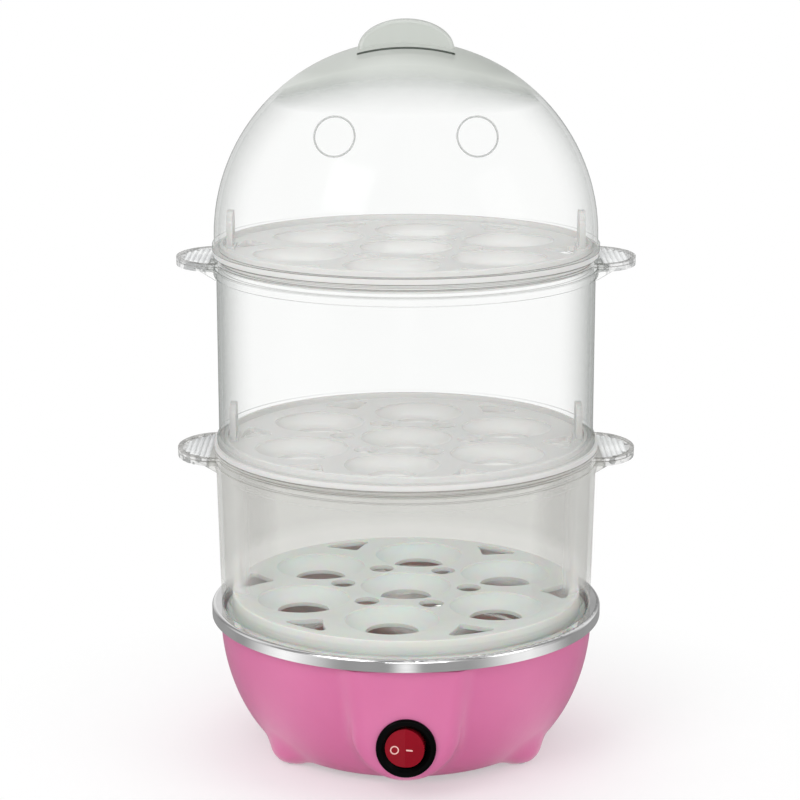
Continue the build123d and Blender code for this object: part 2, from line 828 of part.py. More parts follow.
makers = [
    base_housing, foot_pads, bottom_cover, cover_screws, heating_pan, pan_seal, heater_plate,
    heating_element, element_ends, clamp_strap, clamp_screws, thermostat, thermostat_screws,
    thermal_fuse, fuse_clip, terminal_block, block_sleeves, block_screws, earth_tag, element_link,
    supply_lead, switch_lead, neutral_lead, earth_lead, switch_body, switch_rocker,
    switch_terminals, switch_lamp, cord_gland, gland_nut, lower_tray, lower_barrel, middle_tray,
    upper_barrel, top_tray, dome_lid,
]

os.makedirs("parts", exist_ok=True)
for make in makers:
    export_step(make(), f"parts/{make.__name__}.step")
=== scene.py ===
import json
import math

import bpy
import numpy as np
from mathutils import Matrix, Vector


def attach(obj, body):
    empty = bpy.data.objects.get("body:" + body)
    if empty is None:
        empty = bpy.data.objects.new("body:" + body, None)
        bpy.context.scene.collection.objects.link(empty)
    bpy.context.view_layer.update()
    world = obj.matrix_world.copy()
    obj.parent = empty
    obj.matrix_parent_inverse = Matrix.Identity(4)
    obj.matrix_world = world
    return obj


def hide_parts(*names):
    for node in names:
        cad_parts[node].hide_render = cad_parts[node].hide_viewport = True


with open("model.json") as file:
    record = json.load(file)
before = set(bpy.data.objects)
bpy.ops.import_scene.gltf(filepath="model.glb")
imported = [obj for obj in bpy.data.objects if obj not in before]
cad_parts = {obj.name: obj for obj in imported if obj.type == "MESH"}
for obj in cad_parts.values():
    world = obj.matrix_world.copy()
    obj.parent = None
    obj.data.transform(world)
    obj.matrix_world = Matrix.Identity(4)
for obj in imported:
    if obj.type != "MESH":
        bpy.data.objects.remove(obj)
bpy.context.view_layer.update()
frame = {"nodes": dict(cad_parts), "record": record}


def startMaterial(name):
    material = bpy.data.materials.new(name)
    material.use_nodes = True
    tree = material.node_tree
    tree.nodes.clear()
    output = tree.nodes.new("ShaderNodeOutputMaterial")
    shader = tree.nodes.new("ShaderNodeBsdfPrincipled")
    tree.links.new(shader.outputs[0], output.inputs["Surface"])
    return material, tree, shader, output


def setSockets(node, **values):
    for name, value in values.items():
        node.inputs[name.replace("_", " ")].default_value = value


def calc(tree, operation, *values):
    # one Math node; each value is a number or a socket
    node = tree.nodes.new("ShaderNodeMath")
    node.operation = operation
    for place, value in enumerate(values):
        if isinstance(value, (int, float)):
            node.inputs[place].default_value = value
        else:
            tree.links.new(value, node.inputs[place])
    return node.outputs[0]


def hypot(tree, first, second):
    squares = [calc(tree, "MULTIPLY", part, part) for part in (first, second)]
    return calc(tree, "SQRT", calc(tree, "ADD", *squares))


def remap(tree, value, low, high, outLow=0.0, outHigh=1.0, kind="LINEAR"):
    node = tree.nodes.new("ShaderNodeMapRange")
    node.interpolation_type = kind
    setSockets(node, From_Min=low, From_Max=high, To_Min=outLow, To_Max=outHigh)
    tree.links.new(value, node.inputs["Value"])
    return node.outputs["Result"]


def spread(tree, value, outLow=0.0, outHigh=1.0, half=0.2):
    # a noise keeps close to 0.5, so its values between 0.5 - half and 0.5 + half fill the new range
    return remap(tree, value, 0.5 - half, 0.5 + half, outLow, outHigh)


def combine(tree, *parts):
    node = tree.nodes.new("ShaderNodeCombineXYZ")
    for place, part in enumerate(parts):
        tree.links.new(part, node.inputs[place])
    return node.outputs[0]


def blendColours(tree, factor, first, second):
    # first and second are colours or sockets that carry one
    node = tree.nodes.new("ShaderNodeMix")
    node.data_type = "RGBA"
    tree.links.new(factor, node.inputs[0])
    colourInputs = [socket for socket in node.inputs if socket.type == "RGBA"]
    for socket, colour in zip(colourInputs, (first, second)):
        if isinstance(colour, tuple):
            socket.default_value = (*colour, 1)
        else:
            tree.links.new(colour, socket)
    return [socket for socket in node.outputs if socket.type == "RGBA"][0]


def blendShaders(tree, factor, first, second):
    node = tree.nodes.new("ShaderNodeMixShader")
    for place, socket in enumerate((factor, first, second)):
        tree.links.new(socket, node.inputs[place])
    return node.outputs[0]


def noise(tree, vector, scale, detail):
    node = tree.nodes.new("ShaderNodeTexNoise")
    setSockets(node, Scale=scale, Detail=detail)
    tree.links.new(vector, node.inputs["Vector"])
    return node.outputs["Fac"]


def addBump(tree, height, distance, *shaders):
    bump = tree.nodes.new("ShaderNodeBump")
    setSockets(bump, Distance=distance)
    tree.links.new(height, bump.inputs["Height"])
    for shader in shaders:
        tree.links.new(bump.outputs["Normal"], shader.inputs["Normal"])


def readPlace(tree):
    # where the shaded point lies on the object, in metres, and how far it has turned away
    coords = tree.nodes.new("ShaderNodeTexCoord")
    split = tree.nodes.new("ShaderNodeSeparateXYZ")
    tree.links.new(coords.outputs["Object"], split.inputs[0])
    x, y, z = split.outputs
    layer = tree.nodes.new("ShaderNodeLayerWeight")
    layer.inputs["Blend"].default_value = 0.5
    return {
        "point": coords.outputs["Object"],
        "x": x,
        "y": y,
        "z": z,
        "side": calc(tree, "ABSOLUTE", x),
        "across": hypot(tree, x, y),
        "turned": layer.outputs["Facing"],
    }


# from here on sizes are in metres, angles in degrees, and a noise's scale is its patches to a metre
moulding = {
    "cloudScale": 38,              # faint cloudiness in the colour
    "smearScale": 110,             # patches that shine a little less
    "smearRough": (-0.04, 0.06),
    "coatRoughness": 0.12,
    "glowDepth": 0.004,
}
turning = {
    "ringRough": (-0.05, 0.07),
    "ringTint": 0.35,
    "ringDepth": 0.000012,
    "smudgeScale": 45,
    "smudgeRough": (-0.03, 0.05),
    "anisotropy": 0.4,
}


def mouldedPlastic(name, colour, shade, roughness, grain=0.00004, grainScale=900, coat=0.0, glow=0.0,
                   gloss=0.5):
    # solid moulded plastic: faint cloudiness in the colour, a fine moulding grain
    material, tree, shader, _ = startMaterial(name)
    point = readPlace(tree)["point"]
    clouds = spread(tree, noise(tree, point, moulding["cloudScale"], detail=4))
    tint = blendColours(tree, clouds, colour, shade)
    tree.links.new(tint, shader.inputs["Base Color"])
    less, more = moulding["smearRough"]
    smear = noise(tree, point, moulding["smearScale"], detail=5)
    rough = spread(tree, smear, roughness + less, roughness + more, half=0.25)
    tree.links.new(rough, shader.inputs["Roughness"])
    addBump(tree, noise(tree, point, grainScale, detail=2), grain, shader)
    setSockets(shader, Coat_Weight=coat, Coat_Roughness=moulding["coatRoughness"], Subsurface_Weight=glow,
               Subsurface_Scale=moulding["glowDepth"], Specular_IOR_Level=gloss)
    return material


def spunMetal(name, colour, roughness, ringScale, dark=0.8, sheenScale=2.0):
    # metal turned on a lathe: fine rings round Z; the broad light and dark sweeps round the rim are painted
    # reflection
    material, tree, shader, _ = startMaterial(name)
    place = readPlace(tree)
    darkColour = tuple(part * dark for part in colour)
    rings = noise(tree, combine(tree, place["across"], place["z"]), ringScale, detail=3)
    smudge = noise(tree, place["point"], turning["smudgeScale"], detail=4)
    less, more = turning["smudgeRough"]
    rough = calc(tree, "ADD", spread(tree, rings, *turning["ringRough"]),
                 spread(tree, smudge, roughness + less, roughness + more))
    tree.links.new(rough, shader.inputs["Roughness"])
    outward = tree.nodes.new("ShaderNodeVectorMath")
    outward.operation = "NORMALIZE"
    tree.links.new(combine(tree, place["x"], place["y"]), outward.inputs[0])
    # painted reflection: light and dark sweeps by direction round Z stand in for the spun metal's streaked
    # highlights
    paintedSheen = spread(tree, noise(tree, outward.outputs[0], sheenScale, detail=2), half=0.15)
    sheenColour = blendColours(tree, paintedSheen, colour, darkColour)
    tint = blendColours(tree, spread(tree, rings, 0.0, turning["ringTint"]), sheenColour, darkColour)
    tree.links.new(tint, shader.inputs["Base Color"])
    addBump(tree, rings, turning["ringDepth"], shader)
    setSockets(shader, Metallic=1.0, Anisotropic=turning["anisotropy"])
    return material


plastics = {
    "pink_plastic": {
        "name": "pinkPlastic", "colour": (0.615, 0.152, 0.328), "shade": (0.588, 0.139, 0.309),
        "roughness": 0.34, "coat": 0.12, "glow": 0.05,
    },
    "cover_plastic": {
        "name": "coverPlastic", "colour": (0.62, 0.16, 0.34), "shade": (0.60, 0.15, 0.33),
        "roughness": 0.5, "grain": 0.0001, "grainScale": 500,
    },
    "rubber_foot": {
        "name": "rubberFoot", "colour": (0.20, 0.20, 0.21), "shade": (0.17, 0.17, 0.18),
        "roughness": 0.7, "grain": 0.00008, "grainScale": 1500,
    },
    "seal_rubber": {
        "name": "siliconeSeal", "colour": (0.6, 0.6, 0.58), "shade": (0.56, 0.56, 0.54), "roughness": 0.55,
    },
    "gland_rubber": {
        "name": "glandRubber", "colour": (0.035, 0.035, 0.035), "shade": (0.028, 0.028, 0.028),
        "roughness": 0.62, "grain": 0.00006, "grainScale": 1500,
    },
    "ceramic_bead": {
        "name": "ceramicBead", "colour": (0.83, 0.8, 0.73), "shade": (0.78, 0.75, 0.68), "roughness": 0.6,
    },
    "black_bakelite": {
        "name": "bakelite", "colour": (0.03, 0.025, 0.022), "shade": (0.022, 0.02, 0.018), "roughness": 0.45,
    },
    "block_nylon": {
        "name": "naturalNylon", "colour": (0.78, 0.78, 0.72), "shade": (0.74, 0.74, 0.68),
        "roughness": 0.45, "glow": 0.1,
    },
    "lead_brown": {
        "name": "brownLead", "colour": (0.16, 0.07, 0.03), "shade": (0.14, 0.06, 0.025), "roughness": 0.45,
    },
    "lead_red": {
        "name": "redLead", "colour": (0.5, 0.03, 0.03), "shade": (0.45, 0.025, 0.025), "roughness": 0.45,
    },
    "lead_blue": {
        "name": "blueLead", "colour": (0.03, 0.1, 0.42), "shade": (0.025, 0.09, 0.38), "roughness": 0.45,
    },
    "lead_green": {
        "name": "greenLead", "colour": (0.08, 0.35, 0.04), "shade": (0.07, 0.3, 0.035), "roughness": 0.45,
    },
    "black_plastic": {
        "name": "blackNylon", "colour": (0.002, 0.002, 0.002), "shade": (0.0015, 0.0015, 0.0015),
        "roughness": 0.16, "grain": 0.00002, "grainScale": 1200, "gloss": 0.03,
    },
    "red_plastic": {
        "name": "redRocker", "colour": (0.26, 0.006, 0.016), "shade": (0.22, 0.005, 0.013),
        "roughness": 0.14, "grain": 0.00002, "grainScale": 700, "coat": 0.05, "gloss": 0.06,
    },
    "lamp_glass": {
        "name": "lampGlass", "colour": (0.8, 0.35, 0.25), "shade": (0.75, 0.3, 0.2), "roughness": 0.1,
    },
    "tray_plastic": {
        "name": "paleTray", "colour": (0.93, 0.925, 0.91), "shade": (0.91, 0.905, 0.89),
        "roughness": 0.4, "glow": 0.5,
    },
}
metals = {
    "pan_steel": {
        "name": "spunSteel", "colour": (0.93, 0.93, 0.93), "roughness": 0.1, "ringScale": 2600,
        "dark": 0.86, "sheenScale": 3.2,
    },
    "element_steel": {
        "name": "darkSteel", "colour": (0.36, 0.34, 0.32), "roughness": 0.4, "ringScale": 900,
    },
    "strap_steel": {
        "name": "strapSteel", "colour": (0.62, 0.62, 0.62), "roughness": 0.3, "ringScale": 900,
    },
    "screw_steel": {
        "name": "screwSteel", "colour": (0.7, 0.7, 0.71), "roughness": 0.22, "ringScale": 1500,
    },
    "cast_aluminium": {
        "name": "castAluminium", "colour": (0.6, 0.6, 0.61), "roughness": 0.45, "ringScale": 500,
    },
    "brass_contact": {
        "name": "brassContact", "colour": (0.75, 0.55, 0.22), "roughness": 0.3, "ringScale": 900,
    },
}


shadeLines = {
    "tone": (0.10, 0.09, 0.075),
    "half": 0.00015,
    "soft": 0.00012,
    # painted shade lines round a collar, in its grooves and along its edges: how far below the first one,
    # how dense
    "collar": ((0.0, 0.8), (0.0011, 0.4), (0.00235, 0.7), (0.00505, 0.45)),
}
domeRing = {
    "across": 0.0265,        # each ring's centre, from the middle of the dome
    "ahead": 0.0554,
    "level": 0.255,
    "lean": 0.1405,          # slope by which the ring's axis climbs towards the front
    "radius": 0.007575,
    "half": 0.0003,
}
domeSlot = {"y": -0.0154, "halfWide": 0.00145, "halfLong": 0.0189, "low": 0.27}


def levelShadeLine(level, strength):
    # a painted shade line round the object at one level
    low, high, soft = level - shadeLines["half"], level + shadeLines["half"], shadeLines["soft"]

    def mask(tree, place):
        above = remap(tree, place["z"], low - soft, low + soft)
        below = remap(tree, place["z"], high + soft, high - soft)
        return calc(tree, "MULTIPLY", above, below)
    return {"mask": mask, "strength": strength, "tone": shadeLines["tone"]}


def collarShadeLines(top):
    return [levelShadeLine(top - drop, strength) for drop, strength in shadeLines["collar"]]


def shadeAbove(low, high, slant=0.0):
    # painted shade that fades in with height; slant makes it denser where the wall turns away
    def mask(tree, place):
        fade = remap(tree, place["z"], low, high)
        if slant:
            thick = calc(tree, "MULTIPLY", calc(tree, "POWER", place["turned"], 2.0), slant)
            fade = calc(tree, "MINIMUM", calc(tree, "MULTIPLY", fade, thick), 1.0)
        return fade
    return mask


def ringShadeLines(tree, place):
    # painted shade lines along the two raised rings on the front of the dome
    ahead = calc(tree, "ADD", place["y"], domeRing["ahead"])
    above = calc(tree, "SUBTRACT", place["z"], domeRing["level"])
    rise = calc(tree, "MULTIPLY_ADD", ahead, domeRing["lean"], above)
    aside = calc(tree, "SUBTRACT", place["side"], domeRing["across"])
    off = calc(tree, "ABSOLUTE", calc(tree, "SUBTRACT", hypot(tree, rise, aside), domeRing["radius"]))
    line = remap(tree, off, domeRing["half"] + shadeLines["soft"], domeRing["half"] - shadeLines["soft"])
    return calc(tree, "MULTIPLY", line, calc(tree, "LESS_THAN", place["y"], 0.0))


def slotShade(tree, place):
    # painted shade in the dome's vent slot: its cut walls go nearly black
    off = calc(tree, "ABSOLUTE", calc(tree, "SUBTRACT", place["y"], domeSlot["y"]))
    near = calc(tree, "LESS_THAN", off, domeSlot["halfWide"])
    inside = calc(tree, "LESS_THAN", place["side"], domeSlot["halfLong"])
    above = calc(tree, "GREATER_THAN", place["z"], domeSlot["low"])
    return calc(tree, "MULTIPLY", calc(tree, "MULTIPLY", near, inside), above)


def beyondSide(reach, soft):
    # what stands out further than the wall: the grips
    return lambda tree, place: remap(tree, place["side"], reach, reach + soft)


clearFinish = {
    "tint": (0.996, 0.998, 0.996),
    "veil": (0.12, 0.145, 0.125),
    "roughness": 0.35,
    "face": 0.003,           # how much of the veil is seen face on
    "haze": 0.002,
    "hazeScale": 26,
    "edge": 0.45,            # and how much more where the wall turns away
    "bendStart": 0.42,
    "bendEnd": 0.85,
    "bend": 1.6,
    "rim": (0.08, 0.10, 0.085),
    "rimStart": 0.88,
    "rimEnd": 1.0,
    "rimEdge": 0.4,
    "innerShare": 0.1,       # the inner side of the wall shows only this share of it
    "midWall": 0.0745,       # radius between the inner and the outer side
    "midSoft": 0.0001,
    "spring": 0.210,         # above this height the wall is part of a sphere
    "glow": 0.0,
    "glowDepth": 0.003,
    "glossFace": 0.006,
    "glossEdge": 0.10,
    "glossPower": 4.0,
    "glossRough": 0.06,
    "shade": 0.12,           # share of the veil that stops light on its way to what is inside
    "grain": 0.00003,
    "grainScale": 160,
}
domeFinish = dict(clearFinish, midWall=0.0752, edge=0.25, rimEdge=0.6)
smokedFinish = dict(
    clearFinish, tint=(0.94, 0.94, 0.93), veil=(0.36, 0.355, 0.34), rim=(0.66, 0.66, 0.64), rimStart=0.3,
    rimEnd=0.6, rimEdge=0.35, face=0.08, edge=0.0, innerShare=1.0, haze=0.01,
    footTop=0.074, footFade=0.006, footShare=0.15,     # the veil is thinner at the foot of the wall
)
frostedFinish = dict(
    clearFinish, tint=(0.97, 0.97, 0.965), veil=(0.72, 0.72, 0.71), rim=(0.5, 0.5, 0.5), face=0.66, edge=0.3,
    bendStart=0.0, bendEnd=1.0, rimEdge=0.0, innerShare=1.0, haze=0.01, glow=0.1, shade=0.2,
)
# the grips: greyer, with painted glints as bright specks
gripMark = {
    "mask": beyondSide(reach=0.0785, soft=0.0008),
    "strength": 0.5,
    "tone": (0.22, 0.23, 0.23),
    "glintTone": (0.9, 0.9, 0.9),
    "glintScale": 420,
}
# on the tiers: painted glints on the grips and painted shade lines round each collar
lowerMarks = [gripMark] + collarShadeLines(top=0.1248)
upperMarks = [gripMark] + collarShadeLines(top=0.2028)
# painted shade on the dome: greying towards the top and over the knob, lines along the rings and the lower
# edge, the vent slot nearly black
domeMarks = [
    {"mask": shadeAbove(low=0.262, high=0.283, slant=4.5), "strength": 0.8, "tone": (0.60, 0.625, 0.59)},
    {"mask": shadeAbove(low=0.272, high=0.280, slant=4.5), "strength": 0.6, "tone": (0.50, 0.525, 0.49)},
    {"mask": shadeAbove(low=0.2818, high=0.2832), "strength": 0.6, "tone": (0.50, 0.525, 0.49)},
    {"mask": ringShadeLines, "strength": 0.5, "tone": (0.34, 0.35, 0.34)},
    {"mask": slotShade, "strength": 0.95, "tone": (0.03, 0.042, 0.03)},
    levelShadeLine(level=0.2052, strength=0.6),
]


def wallVeil(tree, place, finish):
    # how much of the wall is seen rather than looked through, and where it is rim
    lift = calc(tree, "MAXIMUM", calc(tree, "SUBTRACT", place["z"], finish["spring"]), 0.0)
    shell = hypot(tree, place["across"], lift)
    middle, soft = finish["midWall"], finish["midSoft"]
    outer = remap(tree, shell, middle - soft, middle + soft, finish["innerShare"], 1.0)
    bend = remap(tree, place["turned"], finish["bendStart"], finish["bendEnd"])
    bend = calc(tree, "MULTIPLY", calc(tree, "POWER", bend, finish["bend"]), finish["edge"])
    rim = remap(tree, place["turned"], finish["rimStart"], finish["rimEnd"])
    dense = calc(tree, "MULTIPLY_ADD", rim, finish["rimEdge"], bend)
    veil = calc(tree, "MULTIPLY_ADD", dense, outer, finish["face"])
    if "footTop" in finish:
        top = finish["footTop"]
        foot = remap(tree, place["z"], top - finish["footFade"], top, finish["footShare"], 1.0)
        veil = calc(tree, "MULTIPLY", veil, foot)
    haze = noise(tree, place["point"], finish["hazeScale"], detail=3)
    return calc(tree, "ADD", veil, spread(tree, haze, -finish["haze"], finish["haze"])), rim


def layMark(tree, place, mark, veil, tone):
    mask = mark["mask"](tree, place)
    veil = calc(tree, "MAXIMUM", veil, calc(tree, "MULTIPLY", mask, mark["strength"]))
    tone = blendColours(tree, mask, tone, mark["tone"])
    # painted glints: bright specks scattered over the mark
    if "glintScale" in mark:
        cells = tree.nodes.new("ShaderNodeTexVoronoi")
        setSockets(cells, Scale=mark["glintScale"])
        tree.links.new(place["point"], cells.inputs["Vector"])
        glints = spread(tree, cells.outputs["Color"], half=0.15)
        tone = blendColours(tree, calc(tree, "MULTIPLY", mask, glints), tone, mark["glintTone"])
    return veil, tone


def clearPlastic(name, finish, marks=()):
    # nearly nothing face on, darkening where the outer wall turns away; marks lay painted shade and painted
    # glints in it
    material, tree, shader, output = startMaterial(name)
    place = readPlace(tree)
    veil, rim = wallVeil(tree, place, finish)
    tone = blendColours(tree, rim, finish["veil"], finish["rim"])
    for mark in marks:
        veil, tone = layMark(tree, place, mark, veil, tone)
    tree.links.new(tone, shader.inputs["Base Color"])
    setSockets(shader, Roughness=finish["roughness"], Subsurface_Weight=finish["glow"],
               Subsurface_Scale=finish["glowDepth"])
    through = tree.nodes.new("ShaderNodeBsdfTransparent")
    through.inputs["Color"].default_value = (*finish["tint"], 1)
    gloss = tree.nodes.new("ShaderNodeBsdfGlossy")
    gloss.inputs["Roughness"].default_value = finish["glossRough"]
    path = tree.nodes.new("ShaderNodeLightPath")
    lighting = calc(tree, "MAXIMUM", path.outputs["Is Shadow Ray"], path.outputs["Is Diffuse Ray"])
    veil = calc(tree, "MULTIPLY", veil, remap(tree, lighting, 0, 1, 1.0, finish["shade"]))
    body = blendShaders(tree, veil, through.outputs[0], shader.outputs[0])
    edge = calc(tree, "POWER", place["turned"], finish["glossPower"])
    sheen = remap(tree, edge, 0, 1, finish["glossFace"], finish["glossEdge"])
    tree.links.new(blendShaders(tree, sheen, body, gloss.outputs[0]), output.inputs["Surface"])
    grain = noise(tree, place["point"], finish["grainScale"], detail=2)
    addBump(tree, grain, finish["grain"], shader, gloss)
    return material


materials = {slot: mouldedPlastic(**finish) for slot, finish in plastics.items()}
materials.update({slot: spunMetal(**finish) for slot, finish in metals.items()})
materials["tray_clear"] = clearPlastic("frostedTray", frostedFinish)
materials["clear_plastic"] = clearPlastic("clearTier", clearFinish, upperMarks)
nodeFinish = {
    "lower_barrel": clearPlastic("smokedTier", smokedFinish, lowerMarks),
    "dome_lid": clearPlastic("clearDome", domeFinish, domeMarks),
}
slotOf = {row["node"]: row["material_slot"] for row in frame["record"]["subparts"]}
for node, thing in frame["nodes"].items():
    for holder in thing.material_slots:
        holder.material = nodeFinish.get(node, materials[slotOf[node]])
print("finishes on", len(frame["nodes"]), "frame pieces")


def addPiece(name, points, faces, material):
    mesh = bpy.data.meshes.new(name)
    mesh.from_pydata([tuple(point) for point in points], [], faces)
    mesh.materials.append(material)
    piece = bpy.data.objects.new(name, mesh)
    bpy.context.collection.objects.link(piece)
    return piece


def applyModifiers(piece):
    bpy.context.view_layer.update()
    made = piece.evaluated_get(bpy.context.evaluated_depsgraph_get())
    plain = bpy.data.meshes.new_from_object(made)
    piece.modifiers.clear()
    piece.data = plain


def circle(centre, radius, count=40):
    turns = [2 * math.pi * k / count for k in range(count)]
    return [(centre[0] + radius * math.cos(turn), centre[1] + radius * math.sin(turn)) for turn in turns]


def lozenge(centre, length, width, count=8):
    # bar with round ends
    half, radius = length / 2 - width / 2, width / 2
    outline = []
    for k in range(2 * count):
        turn = -math.pi / 2 + math.pi * (k % count) / (count - 1) + (math.pi if k >= count else 0)
        shift = half if k < count else -half
        outline.append((centre[0] + shift + radius * math.cos(turn), centre[1] + radius * math.sin(turn)))
    return outline


def bandFaces(low, high, count):
    # faces between two closed loops of points, given by the number of the first point of each
    return [(low + k, low + (k + 1) % count, high + (k + 1) % count, high + k) for k in range(count)]


def rod(name, centre, radius, low, high, material, bevel=0.0, count=48):
    # closed upright cylinder, its lower rim drawn in by bevel
    foot = [(radius - bevel, low), (radius, low + bevel)] if bevel else [(radius, low)]
    rings = foot + [(radius, high)]
    points = [(*spot, level) for wide, level in rings for spot in circle(centre, wide, count)]
    faces = [tuple(reversed(range(count))), tuple(range(len(points) - count, len(points)))]
    for row in range(len(rings) - 1):
        faces += bandFaces(row * count, (row + 1) * count, count)
    return addPiece(name, points, faces, material)


def cutAway(piece, tool):
    # takes the tool's volume out of the piece, and the tool out of the scene
    cut = piece.modifiers.new("cut", "BOOLEAN")
    cut.operation = "DIFFERENCE"
    cut.solver = "EXACT"
    cut.object = tool
    applyModifiers(piece)
    bpy.data.objects.remove(tool)


switch = {
    "centre": (0.0, -0.077, 0.0233),
    "tilt": 2.5,             # the boss face looks up by this much
    "hinge": -0.0025,        # the rocker's hinge line, behind the boss face
    "throw": 8.0,            # half of the rocker's travel
    "crest": 0.0004,         # valley between the rocker's halves, above the boss face
}
switchMarks = {
    "zeroAt": (-0.0044, -0.0007),
    "zeroOuter": 0.0017,
    "zeroInner": 0.00125,
    "dashAt": (0.0013, -0.0007),
    "dashLong": 0.0026,
    "dashWide": 0.0006,
    "proud": 0.00006,        # above the rocker's face
    "sunk": 0.0001,          # and below it
    "paint": {
        "name": "markPaint", "colour": (0.80, 0.50, 0.46), "shade": (0.76, 0.46, 0.42),
        "roughness": 0.4, "grain": 0.00001, "grainScale": 1500,
    },
}


def switchFrame():
    # X to the right, Z out of the boss face, origin in the middle of the switch
    tilt = math.radians(switch["tilt"])
    out = Vector((0, -math.cos(tilt), math.sin(tilt)))
    right = Vector((1, 0, 0))
    up = out.cross(right)
    turn = Matrix((right, up, out)).transposed().to_4x4()
    return Matrix.Translation(switch["centre"]) @ turn


def rockerFace(side):
    # height over x of one half of the resting rocker, side is -1 for the pressed half
    throw = math.radians(switch["throw"])
    distance = (switch["crest"] - switch["hinge"]) * math.cos(throw)
    slope = 0.0 if side < 0 else 2 * throw
    return lambda x: switch["hinge"] + distance / math.cos(slope) + x * math.tan(slope)


def raisedMark(name, outlines, height, material):
    # one closed outline, or an outer and an inner one of the same length
    placement = switchFrame()
    count = len(outlines[0])
    points = [placement @ Vector((x, y, height(x) + level)) for outline in outlines
              for level in (-switchMarks["sunk"], switchMarks["proud"]) for x, y in outline]
    if len(outlines) == 1:
        faces = bandFaces(0, count, count)
        faces += [tuple(range(count, 2 * count)), tuple(reversed(range(count)))]
    else:
        inner = 2 * count
        bands = ((0, count), (inner + count, inner), (count, inner + count), (inner, 0))
        faces = [face for low, high in bands for face in bandFaces(low, high, count)]
    return addPiece(name, points, faces, material)


def makeMarks():
    paint = mouldedPlastic(**switchMarks["paint"])
    rings = [circle(switchMarks["zeroAt"], switchMarks[size]) for size in ("zeroOuter", "zeroInner")]
    bar = lozenge(switchMarks["dashAt"], switchMarks["dashLong"], switchMarks["dashWide"])
    zero = raisedMark("switchZero", rings, rockerFace(-1), paint)
    dash = raisedMark("switchDash", [bar], rockerFace(1), paint)
    for piece in (zero, dash):
        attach(piece, "rocker")


makeMarks()
print("switch marks on the rocker")


# the moulded housing is a bowl turned about Z, with four feet, the switch boss and the gland's seat
housing = {
    # all in (radius, height): the wall from foot to rim, the lip, the stepped opening for the cover
    "bowlCurve": ((0.054, 0.0025), (0.058, 0.0025), (0.076, 0.0220), (0.076, 0.0546)),
    "lip": ((0.0784, 0.0546), (0.0784, 0.0579), (0.0756, 0.0579), (0.0756, 0.0537)),
    "opening": ((0.0480, 0.0050), (0.0480, 0.0045), (0.0498, 0.0045), (0.0498, 0.0025)),
    "wall": 0.0024,
    "rows": 96,
    "innerStep": 8,          # the inner wall has every eighth row
    "reach": 0.022,          # further than anything stands out of the bowl
    "reachSteps": 56,
    "sharpAngle": 35.0,
}
feet = {
    "at": (0.0453, 0.0310),
    "belly": 0.0084,
    "bellyAt": 0.006,
    "tip": 0.022,
    "bottom": 0.001,
    "taper": 1.23,           # higher for a more pointed drop
    "drawnIn": 0.35,         # share of the belly that is gone at the bottom
    "steepness": 0.85,       # allows for the slope of the drop's side
    "rounding": 0.0008,
    "blend": 0.006,
}
pad = {"radius": 0.0037, "top": 0.0026, "bevel": 0.0003}
boss = {
    "round": 0.0205,         # radius of its round lower end
    "side": 0.0238,          # half width at its top
    "centre": 0.0066,        # of the round end, above the middle of the switch
    "top": 0.036,            # above the middle of the switch
    "draft": 9.0,
    "rounding": 0.005,
    "blend": 0.004,
    "highest": 0.0537,       # above this the bowl stays plain
    "hole": 0.0101,
    "holeSpan": (-0.03, 0.02),
}
seat = {                     # flat round face for the gland
    "radius": 0.0095,
    "face": 0.0725,
    "height": 0.019,
    "rounding": 0.0006,
    "blend": 0.0008,
    "hole": 0.0056,
    "holeSpan": (-0.10, -0.04),
}
# directions round Z from the front, in degrees: the columns of points are closer where something stands out
columns = {"bossEnd": 26, "seatStart": 170, "footHalf": 15, "fine": 0.45, "foot": 0.75, "plain": 1.5}
elsewhere = 0.1              # distance to a shape that doesn't reach this side of the bowl


def smoothUnion(first, second, blend):
    near = np.maximum(blend - np.abs(first - second), 0.0) / blend
    return np.minimum(first, second) - near * near * blend / 4


def roundedCut(first, second, rounding):
    # inside both, with the edge between them rounded
    a, b = first + rounding, second + rounding
    return np.hypot(np.maximum(a, 0), np.maximum(b, 0)) + np.minimum(np.maximum(a, b), 0) - rounding


def footDistance(x, y, z):
    # a drop that is widest at its belly, pointed above and drawn in below
    level, bottom = feet["bellyAt"], feet["bottom"]
    rise = np.clip((z - level) / (feet["tip"] - level), 0, 1)
    drop = np.clip((level - z) / (level - bottom), 0, 1)
    radius = feet["belly"] * ((1 - rise ** 2) ** feet["taper"] - feet["drawnIn"] * drop ** 2)
    away = np.hypot(np.abs(x) - feet["at"][0], np.abs(y) - feet["at"][1])
    return roundedCut(feet["steepness"] * (away - radius), bottom - z, feet["rounding"])


def bossDistance(x, y, z):
    tilt, draft = math.radians(switch["tilt"]), math.radians(boss["draft"])
    ahead, rise = y - switch["centre"][1], z - switch["centre"][2]
    out = -ahead * math.cos(tilt) + rise * math.sin(tilt)
    up = ahead * math.sin(tilt) + rise * math.cos(tilt) - boss["centre"]
    flare = (boss["side"] - boss["round"]) / (boss["top"] - boss["centre"])
    side = np.where(up < 0, np.hypot(x, up) - boss["round"], np.abs(x) - boss["round"] - flare * up)
    side = (side + out * math.tan(draft)) * math.cos(draft)
    there = (y < 0) & (z < boss["highest"])
    return np.where(there, roundedCut(side, out, boss["rounding"]), elsewhere)


def seatDistance(x, y, z):
    away = np.hypot(x, z - seat["height"]) - seat["radius"]
    return np.where(y > 0, roundedCut(away, y - seat["face"], seat["rounding"]), elsewhere)


